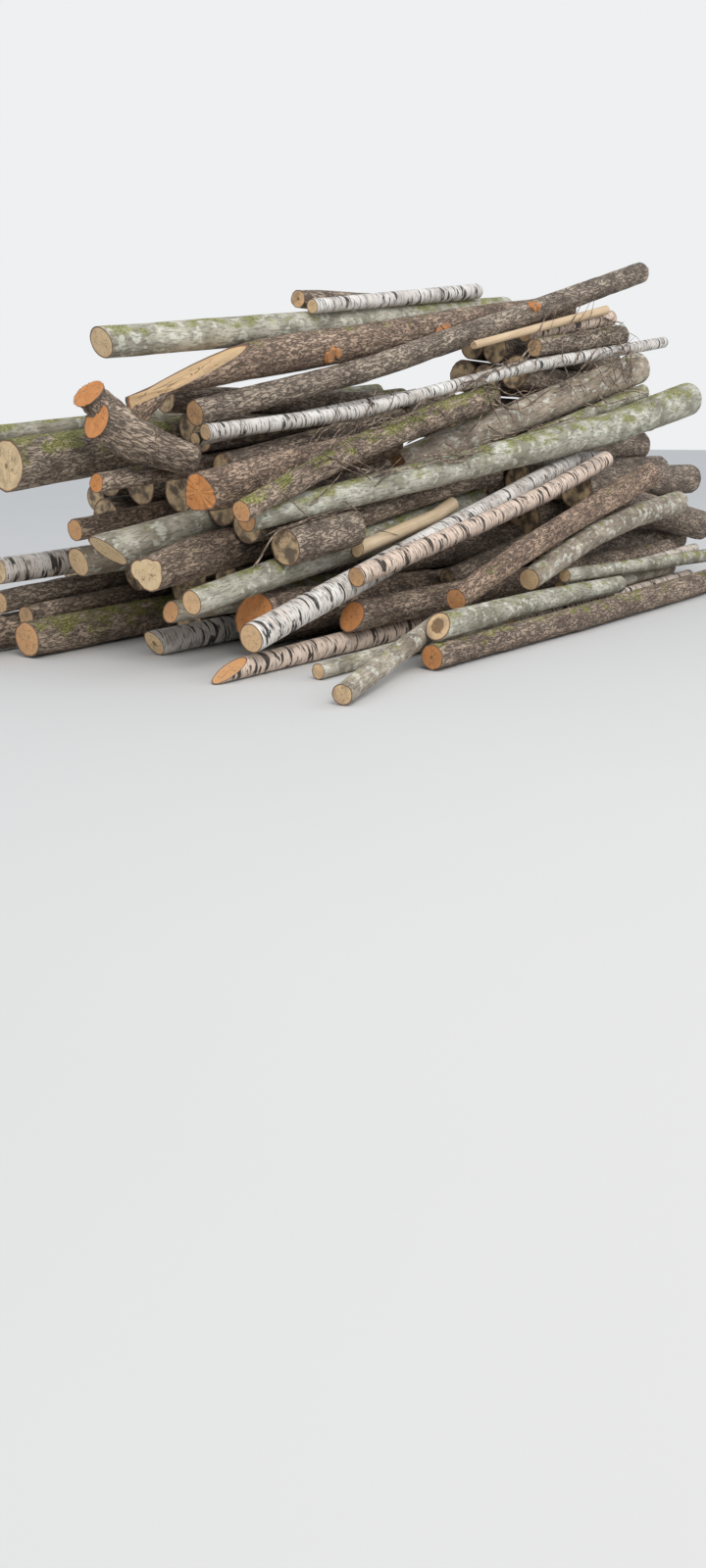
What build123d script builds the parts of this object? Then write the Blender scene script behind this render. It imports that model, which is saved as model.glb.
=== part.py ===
from build123d import *
import math
import os

import numpy as np

# Sizes are millimetres.  Plan places are taken from the middle of the heap:
# +X runs along the logs, away from the end that faces the yard, +Y is to the left.

NEAR_START = -2100.0       # the hidden logs of the near half lie from here
NEAR_END = 700.0           # to here
FAR_START = 1250.0         # and those of the far half from here
FAR_END = 4000.0           # to here
NEAR_THICK = 235.0         # thickness of the hidden logs in the near half
FAR_THICK = 320.0          # and in the far half
CLEARANCE = 0.1            # air left between a log and what it lies on
BEDDED = 1.5               # how far the forked piece has worn into the bark that it lies on
SIDES = 28                 # a log's section is this many-sided, about as round as a stem grows
HIDDEN_SIDES = 22          # and that of a log inside the heap
STEP = 10.0                # distance between the points at which a log is tried against the heap
RIM_POINTS = 60            # points round a sawn end that are tried against the heap

os.makedirs("parts", exist_ok=True)

heap = []                  # limbs that already lie in the heap, lowest first
pieces = []                # one entry for each log, in the order of laying


def limb(start, end, d_start, d_end, knots=(), lift=(0.0, 0.0)):
    """One round stem: plan places of its two ends, its diameters, and the knots where it bends.

    A knot is a place along the stem, from 0 to 1, with the stem's way to the left and up there.
    """
    start = np.array(start, dtype=float)
    end = np.array(end, dtype=float)
    span = float(np.hypot(*(end - start)))
    t = np.linspace(0.0, 1.0, max(int(round(span / STEP)), 12) + 1)
    along = (end - start) / span
    across = np.array([-along[1], along[0]])
    places = [0.0] + [knot[0] for knot in knots] + [1.0]
    left = np.interp(t, places, [0.0] + [knot[1] for knot in knots] + [0.0])
    up = np.interp(t, places, [0.0] + [knot[2] for knot in knots] + [0.0])
    x = start[0] + along[0] * span * t + across[0] * left
    y = start[1] + along[1] * span * t + across[1] * left
    radius = 0.5 * (d_start + (d_end - d_start) * t)
    rise = up + lift[0] * (1.0 - t) + lift[1] * t
    return {"t": t, "x": x, "y": y, "rise": rise, "r": radius, "span": span, "places": places,
            "along": along, "across": across, "start": start, "z": None}


def rim(stem, at_end, slope):
    """Points round a sawn end, square to the log's slope: plan place and height above the axis."""
    i = -1 if at_end else 0
    turn = np.linspace(0.0, 2.0 * math.pi, RIM_POINTS, endpoint=False)
    side = stem["r"][i] * np.cos(turn)
    up = stem["r"][i] * np.sin(turn) / math.hypot(1.0, slope)
    x = stem["x"][i] + stem["across"][0] * side - stem["along"][0] * slope * up
    y = stem["y"][i] + stem["across"][1] * side - stem["along"][1] * slope * up
    return x, y, up


def end_slope(stem, at_end, heights):
    """Rise for each step forward over the last fiftieth of a stem."""
    near = 0.98 if at_end else 0.0
    gain = np.interp(near + 0.02, stem["t"], heights) - np.interp(near, stem["t"], heights)
    return float(gain) / (0.02 * stem["span"])


def height_over(stem, x, y, r):
    """Least height of a ball of radius r at each plan place for it to clear a laid stem."""
    t = ((x - stem["start"][0]) * stem["along"][0] + (y - stem["start"][1]) * stem["along"][1])
    slope = (stem["z"][-1] - stem["z"][0]) / stem["span"]
    need = np.full(x.shape, -1e9)
    shift = np.zeros(x.shape)
    for _ in range(3):
        place = (t + shift) / stem["span"]
        inside = np.clip(place, 0.0, 1.0)
        sx = np.interp(inside, stem["t"], stem["x"])
        sy = np.interp(inside, stem["t"], stem["y"])
        sr = np.interp(inside, stem["t"], stem["r"])
        reach = r + sr + CLEARANCE
        gap2 = reach ** 2 - (x - sx) ** 2 - (y - sy) ** 2
        up = np.sqrt(np.maximum(gap2, 0.0))
        shift = slope * up
    sz = np.interp(inside, stem["t"], stem["z"])
    touching = (gap2 > 0.0) & (np.abs(place - inside) * stem["span"] < 4.0)
    need[touching] = (sz + up)[touching]
    return need


def beside(stem, other):
    """True where two stems come near enough in plan to touch."""
    reach = stem["r"].max() + other["r"].max() + CLEARANCE
    return (other["y"].min() - stem["y"].max() < reach and stem["y"].min() - other["y"].max() < reach
            and other["x"].min() - stem["x"].max() < reach and stem["x"].min() - other["x"].max() < reach)


def demands(stems, main, slope):
    """Lowest heights of the log's base line: places along it and the height needed there."""
    places = []
    heights = []
    for stem in stems:
        close = [other for other in heap if beside(stem, other)]
        where = places_along(stem, main)
        need = stem["r"].copy()
        for other in close:
            over = height_over(other, stem["x"], stem["y"], stem["r"])
            need = np.maximum(need, over)
        # a side contact stands square to the log, so past its ends only the sawn rim can touch
        places.append(where)
        heights.append(need - stem["rise"])
        for at_end in (False, True):
            i = -1 if at_end else 0
            rx, ry, rz = rim(stem, at_end, slope + end_slope(stem, at_end, stem["rise"]))
            zero = np.zeros(rx.shape)
            need = np.zeros(rx.shape)
            for other in close:
                need = np.maximum(need, height_over(other, rx, ry, zero))
            places.append(np.full(rx.shape, where[i]))
            heights.append(need - rz - stem["rise"][i])
        for other in close:
            for at_end in (False, True):
                rx, ry, rz = rim(other, at_end, end_slope(other, at_end, other["z"]))
                rz = rz + other["z"][-1 if at_end else 0]
                t = ((rx - stem["start"][0]) * stem["along"][0]
                     + (ry - stem["start"][1]) * stem["along"][1]) / stem["span"]
                inside = np.clip(t, 0.0, 1.0)
                sx = np.interp(inside, stem["t"], stem["x"])
                sy = np.interp(inside, stem["t"], stem["y"])
                sr = np.interp(inside, stem["t"], stem["r"]) + CLEARANCE
                gap2 = sr ** 2 - (rx - sx) ** 2 - (ry - sy) ** 2
                hit = (gap2 > 0.0) & (t == inside)
                if hit.any():
                    lift = np.interp(inside, stem["t"], stem["rise"])
                    at = np.interp(inside, stem["t"], where)
                    places.append(at[hit])
                    under = np.sqrt(np.maximum(gap2, 0.0)) * math.hypot(1.0, slope)
                    heights.append((rz + under - lift)[hit])
    return np.concatenate(places), np.concatenate(heights)


def rest(places, heights, centre):
    """The log tips on to the two places that hold it up on either side of its centre."""
    order = np.argsort(places)
    hull = []
    for i in order:
        point = (float(places[i]), float(heights[i]))
        while hull and hull[-1][0] == point[0] and hull[-1][1] <= point[1]:
            hull.pop()
        if hull and hull[-1][0] == point[0]:
            continue
        while len(hull) > 1:
            (x1, y1), (x2, y2) = hull[-2], hull[-1]
            if (y2 - y1) * (point[0] - x1) <= (point[1] - y1) * (x2 - x1):
                hull.pop()
            else:
                break
        hull.append(point)
    for (x1, y1), (x2, y2) in zip(hull, hull[1:]):
        if x2 >= centre:
            break
    slope = (y2 - y1) / (x2 - x1)
    return y1 - slope * x1, slope


def places_along(stem, main):
    """How far along the main stem each point of a stem lies, from 0 to 1."""
    return ((stem["x"] - main["start"][0]) * main["along"][0]
            + (stem["y"] - main["start"][1]) * main["along"][1]) / main["span"]


def settle(stems, fine=True):
    """Height of the log's base line at its start, its slope, and the height of its middle."""
    main = stems[0]
    weight = sum(float((s["r"] ** 2).sum()) for s in stems)
    moment = sum(float((s["r"] ** 2 * places_along(s, main)).sum()) for s in stems)
    centre = moment / weight
    tried = stems if fine else [thinned(s) for s in stems]
    base, slope = rest(*demands(tried, main, 0.0), centre)
    for _ in range(2 if fine else 0):
        base, slope = rest(*demands(tried, main, slope / main["span"]), centre)
    return base, slope, base + slope * centre


def thinned(stem):
    """The same stem with every fifth point, to try a place quickly."""
    keep = np.unique(np.append(np.arange(0, len(stem["t"]), 5), len(stem["t"]) - 1))
    return dict(stem, **{k: stem[k][keep] for k in ("t", "x", "y", "rise", "r")})


def lay(name, build, roll=60.0):
    """Let a log down on the heap: it rolls up to a given way into a hollow, and rests there."""
    best = (settle(build(0.0, 0.0), fine=False)[2], 0.0, 0.0)
    pace = roll / 2.0
    while pace > 6.0:
        here = best
        for a, b in ((1, 1), (-1, -1), (1, 0), (-1, 0), (0, 1), (0, -1)):
            start = here[1] + a * pace
            end = here[2] + b * pace
            if max(abs(start), abs(end)) > roll:
                continue
            height = settle(build(start, end), fine=False)[2]
            if height < best[0] - 0.5:
                best = (height, start, end)
        if best == here:
            pace = pace / 2.0
    stems = build(best[1], best[2])
    base, slope, _ = settle(stems)
    for s in stems:
        s["z"] = base + slope * places_along(s, stems[0]) + s["rise"]
        heap.append(s)
    pieces.append((name, stems))


def lay_log(name, start, end, d_start, d_end, roll=60.0, knots=None):
    """A single log, rolling sideways at either end; few logs grow quite straight."""
    if knots is None:
        knots = ((0.5, 9.0 * (-1) ** len(pieces), 0.0),)

    def build(a, b):
        return [limb((start[0], start[1] + a), (end[0], end[1] + b), d_start, d_end, knots)]
    lay(name, build, roll)


def lay_row(name, ys, near, far, thick, shifts=(0,), roll=60.0):
    """Straight hidden logs side by side, each pushed along by its own shift."""
    for i, y in enumerate(ys):
        shift = shifts[i % len(shifts)]
        size = thick * (1.0 + 0.03 * (i % 3 - 1))
        lay_log(f"{name}_{i + 1}", (near + shift, y), (far + 0.5 * shift, y), size, size, roll, knots=())


def set_down(name, stems):
    """A forked piece is lowered as it stands until it touches the heap, and stays wedged there."""
    heights = demands(stems, stems[0], 0.0)[1]
    for s in stems:
        s["z"] = heights.max() - BEDDED + s["rise"]
        heap.append(s)
    pieces.append((name, stems))


# Logs that lie on the ground
lay_log("mossy_ground_log_long", (-1950, -1400), (3700, -1310), 175, 225, roll=0,
        knots=((0.35, -55, 0), (0.7, -50, 0)))
lay_log("pink_birch_ground_thin", (-1050, -1235), (3000, -1130), 75, 95, roll=20)
lay_log("grey_log_front_foot", (-2600, -1014.5), (2700, -895.5), 105, 200, roll=20)
lay_log("pink_birch_shard_end", (-3100, -620), (2500, -547), 130, 240, roll=0)
lay_log("birch_small_left", (-2730, 330), (2800, 280), 176, 270, roll=20)
lay_log("mossy_ground_log_left", (-3250, 940), (2500, 1260), 250, 330, roll=0)
lay_log("brown_ground_log_left", (-3520, 1290), (2200, 1620), 250, 310, roll=0)
lay_row("inner_bottom_front", (0, 600), NEAR_START, 3200, 270, roll=0)
lay_row("inner_bottom_thin", (-330,), -300, 3400, 195, roll=0)
lay_row("inner_bottom_gap", (930,), 600, 3600, 265, roll=40)
lay_row("far_ground_back", (1172,), 2600, FAR_END, FAR_THICK, roll=0)

# Logs that lie on those
lay_log("old_log_front_foot", (-3050, -1557.3), (-1500, -1147.3), 130, 150, roll=0)
lay_log("alder_round_end", (-2800, 60), (800, 60), 150, 200, roll=0)
lay_log("brown_fissured_log_left", (-3100, 1110), (1000, 1350), 165, 240)
lay_log("brown_fissured_log_ridged", (-1900, -650), (3000, -780), 215, 270, roll=30)
lay_log("stump_log_notched", (-2400, -260), (-350, -270), 335, 300, roll=0)
lay_log("speckled_birch_thin", (-600, -1230), (2900, -1080), 85, 110)
lay_log("grey_lichen_log_dark_heart", (-1900, -1370), (1100, -1120), 180, 150, knots=((0.5, 15, 10),))
lay_row("near_second", (-200,), -250, 900, NEAR_THICK, roll=40)
lay_row("near_second_left", (440, 770), NEAR_START, 900, 270, (0, 160))
lay_row("far_second", (-460, -120, 220, 560, 900), FAR_START, FAR_END, FAR_THICK, (0, 120, -60))
lay_row("inner_second_back", (1800,), -2400, 2900, 275)

# The middle of the heap
lay_log("dark_log_left_edge", (-3200, 1240), (1000, 1450), 165, 240)
lay_log("oblique_cut_log_small", (600, -1090), (2500, -1080), 105, 125)
lay_row("near_third_front", (-420,), -400, 1900, 165)
lay_row("near_third", (-120,), -600, 1150, 290)
lay_row("near_third_middle", (270,), NEAR_START, NEAR_END, NEAR_THICK)
lay_row("near_third_left", (640, 990), NEAR_START, NEAR_END, 290, (60, -60))
lay_log("tan_log_left", (-2900, 760), (900, 800), 205, 240)
lay_log("grey_birch_thin_right", (300, -1010), (3300, -860), 86, 100)
lay_log("green_log_right", (200, -1100), (4000, -1020), 110, 135)
lay_row("far_third", (-610, -290, 50, 390, 730, 1070), FAR_START, FAR_END, FAR_THICK, (0, -80, 100))
lay_row("inner_third_back", (1550,), -2300, 2900, 270)
lay_log("bent_log_white_end", (-400, -1230), (2800, -880), 175, 220, roll=40,
        knots=((0.35, 0, 90), (0.65, 0, 80)))
lay_log("birch_big_front", (-2850, -710), (1400, -560), 190, 158, roll=20, knots=((0.5, -15, 8),))
lay_log("lichen_log_branch_stub", (-3000, -340), (400, -190), 165, 290, roll=20, knots=((0.45, 0, 12),))
lay_log("triple_stem_butt", (-3050, -15), (500, 430), 290, 240, roll=20, knots=((0.4, 20, 0),))
lay_log("birch_left_edge", (-3200, 1215), (1000, 1350), 182, 240)
lay_log("old_speckled_birch", (-1950, -800), (1500, -800), 140, 150, roll=10,
        knots=((0.45, 0, -40), (0.7, 0, -45)))
lay_log("reddish_brown_log", (-1400, -1230), (2000, -1000), 170, 230, roll=20, knots=((0.35, 0, 40),))

# The upper part of the heap
lay_row("near_fourth", (620, 960, 1250), NEAR_START, NEAR_END, 290, (100, 0, -100))
lay_log("grey_green_oblique_log", (-3100, 350), (800, 350), 240, 230, roll=40)
lay_log("tan_cracked_log", (-2900, 820), (800, 780), 160, 190)
lay_log("beige_log_small", (-1520, -440), (-250, -390), 106, 112, roll=20, knots=((0.8, 0, -30),))
lay_row("near_front_filler", (-110,), -2250, -250, 265, roll=20)
lay_row("near_front_prop", (-440,), -2250, -1560, 265, roll=20)
lay_log("brown_hollow_log_small", (-1500, -330), (500, -330), 150, 180, roll=20)
lay_row("far_fourth", (-400, -60, 270, 590, 910), FAR_START, FAR_END, FAR_THICK, (200, 120, -100))
lay_row("near_fifth", (190, 540, 920, 1290), NEAR_START, -400, 285, (-100, -100, -60))
lay_log("flared_birch_butt", (-2800, -110), (-500, 30), 290, 250, roll=30)
lay_log("orange_end_small", (-3050, 430), (900, 500), 138, 180, roll=30)
lay_log("mossy_log_large", (-3400, 890), (1000, 1050), 335, 260)
lay_row("near_left_filler", (1450, 1250), NEAR_START, NEAR_END, 215, roll=80)
lay_row("near_left_upper", (1370,), NEAR_START, NEAR_END, 215, roll=80)
lay_row("far_fifth", (20, 360, 700), FAR_START, FAR_END, FAR_THICK, (0, -90))
lay_log("grey_green_log_long", (-2500, -330), (3300, -690), 170, 320, roll=30,
        knots=((0.4, 0, -40), (0.75, 0, -70)))
lay_log("birch_behind_long_log", (300, -260), (2300, -410), 110, 125)
lay_log("green_yellow_log", (400, -330), (2700, -580), 115, 140, roll=40)
lay_log("old_pink_log", (-300, 60), (2700, -500), 250, 290, roll=30)
lay_log("mossy_crooked_log", (-2690, -470), (700, -90), 150, 230, roll=30,
        knots=((0.35, -15, 70), (0.7, 20, 40)))
lay_row("near_sixth", (150, 700), NEAR_START, -100, 215, (0, 120))
fork_crotch = (-2780, 300)
set_down("alder_fork_butt",
         [limb((-3060, 340), fork_crotch, 250, 300, ((0.5, 12, 0),), lift=(250, 130)),
          limb((-3040, 500), fork_crotch, 225, 270, ((0.5, -14, 0),), lift=(455, 150)),
          limb(fork_crotch, (-2400, 190), 300, 250, ((0.5, 15, 0),), lift=(130, 0))])
lay_log("grey_log_left_edge", (-3130, 1370), (900, 1330), 147, 180, roll=20)
lay_log("yellow_grey_log_left_edge", (-3190, 1290), (900, 1200), 110, 160, roll=30)
lay_row("far_sixth", (-90, 240, 570), FAR_START, FAR_END, 300, (0, 100))
lay_log("birch_long_thin", (-2330, 120), (3300, -460), 112, 105, roll=40,
        knots=((0.25, 0, -70), (0.6, 0, 20)))
lay_log("grey_mossy_log_far", (1300, -220), (2700, -320), 165, 190, roll=40)
lay_log("tan_birch_far", (1300, -120), (2600, -260), 125, 145, roll=40)
lay_row("near_seventh", (430, 720), NEAR_START, 900, 200)
lay_row("far_seventh", (220, 520), FAR_START, 3800, 290, (0, 100))
lay_row("far_eighth", (240, 520), FAR_START, 3400, 255, (0, 80))
lay_log("birch_strip_under_split_log", (-2300, 325), (200, 325), 95, 120)
lay_log("dark_fissured_log_long", (-2330, 170), (3300, -210), 180, 205,
        knots=((0.3, 0, -70), (0.55, 0, -50)))
lay_log("split_log_long", (-2800, 230), (2600, 200), 270, 265, knots=((0.4, -12, 0), (0.75, 10, 12)))
lay_log("peeled_pole", (450, -50), (2400, -210), 65, 80)
lay_log("lichen_log_upper", (-2950, 400), (2000, 560), 195, 245, roll=10)
lay_log("birch_near_top", (-1000, 400), (1400, 535), 105, 130)
lay_log("dark_log_top", (-900, 500), (1100, 700), 140, 215)

# Skins

# Near ends that were sawn or split askew, in degrees: turn about the plumb line, then tip up
SAWN_ASKEW = {"grey_green_oblique_log": (-42, 0), "oblique_cut_log_small": (64, 0),
              "birch_small_left": (-25, 0), "lichen_log_upper": (-12, 0),
              "tan_log_left": (-12, 0), "grey_lichen_log_dark_heart": (24, 0),
              "brown_fissured_log_ridged": (26, 0), "beige_log_small": (24, 0), "alder_round_end": (14, 5),
              "stump_log_notched": (15, 12), "pink_birch_shard_end": (64, 10), "split_log_long": (76, 12),
              "orange_end_small": (10, 5), "mossy_log_large": (8, 0), "birch_big_front": (6, 4)}

# Root ends that are lobed where stems or root flares have grown together: how far the lobes run
# in, and each lobe's way to the left and up of the middle and its radius
LOBED = {"triple_stem_butt": (420.0, ((70, 5, 72), (-12, -22, 112), (-84, 34, 48))),
         "flared_birch_butt": (380.0, ((8, 58, 82), (52, -48, 70), (-58, -36, 66)))}
LOBE_CORE = 0.62           # thickness of the middle of a lobed end, as a part of the whole
LOBE_RUN = 0.12            # place along the log where its lobes have grown into one round stem


def square_to(stem, t):
    """Plane square to a stem at a place along it, from 0 to 1, and the stem's radius there."""
    def axis(place):
        return np.array([np.interp(place, stem["t"], stem[k]) for k in ("x", "y", "z")])
    ahead = axis(min(t + 0.02, 1.0)) - axis(max(t - 0.02, 0.0))
    level = (-float(ahead[1]), float(ahead[0]), 0.0)
    plane = Plane(origin=tuple(axis(t)), x_dir=level, z_dir=tuple(ahead))
    return plane, float(np.interp(t, stem["t"], stem["r"]))


def skin(stem, sides=SIDES):
    """The body of one stem, in straight runs from knot to knot."""
    with BuildPart() as body:
        for t in stem["places"]:
            plane, radius = square_to(stem, t)
            with BuildSketch(plane):
                RegularPolygon(radius, sides)
        loft(ruled=True)
    return body.part


def lobed(stem, run, lobes):
    """A stem whose root end is drawn in, with lobes round it that run out of the round body."""
    with BuildPart() as body:
        for t in [0.0, LOBE_RUN] + stem["places"][1:]:
            plane, radius = square_to(stem, t)
            with BuildSketch(plane):
                RegularPolygon(radius if t else LOBE_CORE * radius, SIDES)
        loft(ruled=True)
        plane, radius = square_to(stem, 0.0)
        with BuildSketch(plane):
            for left, up, size in lobes:
                with Locations((left, up)):
                    RegularPolygon(size, SIDES)
        extrude(amount=run)
    return body.part


def sawn_askew(body, stem, turn, tip):
    """Cut the near end askew, through its first point."""
    plane, radius = square_to(stem, 0.0)
    depth = radius * math.tan(math.radians(math.hypot(turn, tip)))
    cut = plane.offset(depth).rotated((tip, turn, 0.0))
    return body.split(cut, keep=Keep.TOP)


# Logs that can't be seen are kept in one part for each level of each half
LEVELS = {"hidden_ground_logs": ("inner_bottom_front", "inner_bottom_thin", "inner_bottom_gap"),
          "hidden_back_logs": ("inner_second_back", "inner_third_back"),
          "hidden_near_logs_lower": ("near_second", "near_second_left", "near_third_front", "near_third",
                                    "near_third_middle", "near_third_left"),
          "hidden_near_logs_middle": ("near_fourth", "near_front_filler", "near_front_prop",
                                     "near_fifth", "near_left_filler",
                                     "near_left_upper"),
          "hidden_near_logs_upper": ("near_sixth", "near_seventh"),
          "hidden_far_logs_lower": ("far_second", "far_ground_back", "far_third"),
          "hidden_far_logs_middle": ("far_fourth", "far_fifth"),
          "hidden_far_logs_upper": ("far_sixth", "far_seventh", "far_eighth")}

bodies = {}
for name, stems in pieces:
    row = name.rstrip("0123456789").rstrip("_")
    node = next((level for level, rows in LEVELS.items() if row in rows), name)
    if name in LOBED:
        body = lobed(stems[0], *LOBED[name])
    elif len(stems) == 1:
        body = skin(stems[0], SIDES if node == name else HIDDEN_SIDES)
    else:
        with BuildPart() as forked:
            for stem in stems:
                add(skin(stem))
            with Locations(tuple(float(stems[-1][k][0]) for k in ("x", "y", "z"))):
                Sphere(float(stems[-1]["r"][0]))
        body = forked.part
    if name in SAWN_ASKEW:
        body = sawn_askew(body, stems[0], *SAWN_ASKEW[name])
    bodies.setdefault(node, []).append(body)

# The heap's own frame: origin on the ground, under the middle of the whole heap
whole = Compound([body for solids in bodies.values() for body in solids]).bounding_box()
to_frame = Location((-whole.center().X, -whole.center().Y, -whole.min.Z))

for node, solids in bodies.items():
    with BuildPart() as log:
        add([body.moved(to_frame) for body in solids], clean=False)
    log.part.label = node
    export_step(log.part, f"parts/{node}.step")
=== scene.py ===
import math

import bmesh
import bpy
import numpy as np
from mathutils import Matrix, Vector
from mathutils.bvhtree import BVHTree


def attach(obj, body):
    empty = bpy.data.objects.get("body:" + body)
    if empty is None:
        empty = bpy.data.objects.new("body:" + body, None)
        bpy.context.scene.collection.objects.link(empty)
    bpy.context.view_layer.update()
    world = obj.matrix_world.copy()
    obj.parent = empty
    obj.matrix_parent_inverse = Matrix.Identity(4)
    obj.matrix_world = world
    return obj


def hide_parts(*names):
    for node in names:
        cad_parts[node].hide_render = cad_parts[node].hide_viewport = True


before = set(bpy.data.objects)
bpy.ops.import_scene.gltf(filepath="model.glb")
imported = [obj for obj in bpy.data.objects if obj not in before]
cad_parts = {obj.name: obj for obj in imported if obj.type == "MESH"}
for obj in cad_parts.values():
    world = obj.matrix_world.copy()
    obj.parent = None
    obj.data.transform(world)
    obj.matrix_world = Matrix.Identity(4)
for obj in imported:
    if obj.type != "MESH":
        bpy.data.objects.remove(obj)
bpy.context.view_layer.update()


# White birch logs
# Young birch stems with paper-white bark: short black lenticels run round the stem, with a few black
# scars.  They were felled and cross-cut with a chain saw and lie loose on the heap.

def lattice_noise(points, seed):
    """Smooth noise from 0 to 1 at each point, the same every run."""
    cell = np.floor(points).astype(np.int64)
    part = points - cell
    part = part * part * (3.0 - 2.0 * part)
    total = np.zeros(points.shape[:-1])
    for corner in range(8):
        step = np.array([corner & 1, corner >> 1 & 1, corner >> 2 & 1])
        key = (cell + step) * np.array([73856093, 19349663, 83492791])
        key = (key[..., 0] ^ key[..., 1] ^ key[..., 2]) + seed * 2654435761
        key = (key ^ (key >> 13)) * 1274126177 & 0x7FFFFFFF
        value = ((key ^ (key >> 16)) % 65536) / 65535.0
        weight = np.prod(np.where(step == 1, part, 1.0 - part), axis=-1)
        total += value * weight
    return total


def rough_noise(points, seed, layers=3):
    """Noise with finer and finer layers, from 0 to 1."""
    total = np.zeros(points.shape[:-1])
    for layer in range(layers):
        total += lattice_noise(points * 2.0 ** layer, seed + 31 * layer) * 0.5 ** layer
    return total / (2.0 - 0.5 ** (layers - 1))


def islands(node):
    """The separate solids of a CAD node, each as a merged mesh."""
    whole = bmesh.new()
    whole.from_mesh(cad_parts[node].data)
    bmesh.ops.remove_doubles(whole, verts=whole.verts, dist=1e-5)
    whole.verts.index_update()
    left = set(whole.verts)
    parts = []
    while left:
        found = {left.pop()}
        front = list(found)
        while front:
            for edge in front.pop().link_edges:
                for vert in edge.verts:
                    if vert not in found:
                        found.add(vert)
                        front.append(vert)
        left -= found
        parts.append(found)
    parts.sort(key=lambda verts: tuple(round(c, 3) for c in min(v.co[:] for v in verts)))
    solids = []
    for verts in parts:
        solid = whole.copy()
        keep = {v.index for v in verts}
        solid.verts.ensure_lookup_table()
        bmesh.ops.delete(solid, geom=[v for v in solid.verts if v.index not in keep], context="VERTS")
        solids.append(solid)
    whole.free()
    return solids


def middle_line(solid, tree):
    """Straight line through a solid log, and how its real middle bends off that line."""
    co = np.array([v.co[:] for v in solid.verts])
    low = co[co[:, 0] < co[:, 0].min() + 0.08 * np.ptp(co[:, 0])].mean(axis=0)
    high = co[co[:, 0] > co[:, 0].max() - 0.08 * np.ptp(co[:, 0])].mean(axis=0)
    along = (high - low) / np.linalg.norm(high - low)
    side = np.cross([0.0, 0.0, 1.0], along)
    side = side / np.linalg.norm(side)
    up = np.cross(along, side)
    reach = (co - low) @ along
    first, last = float(reach.min()), float(reach.max())
    wide = float(np.abs((co - low) @ side).max()) * 2.0 + 0.3
    places = np.linspace(first + 0.06 * (last - first), last - 0.06 * (last - first), 11)
    offsets = []
    for place in places:
        hits = []
        for turn in np.linspace(0.0, 2.0 * math.pi, 24, endpoint=False):
            out = side * math.cos(turn) + up * math.sin(turn)
            start = low + along * place + out * wide
            hit = tree.ray_cast(Vector(start), Vector(-out))[0]
            if hit is not None:
                hits.append(np.array(hit) - low - along * place)
        hits = np.array(hits)
        offsets.append(((hits @ side).max() + (hits @ side).min(), (hits @ up).max() + (hits @ up).min()))
    offsets = np.array(offsets) / 2.0
    bend = [np.polynomial.Polynomial.fit(places, offsets[:, k], 4) for k in (0, 1)]
    return low, along, side, up, first, last, bend


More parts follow.
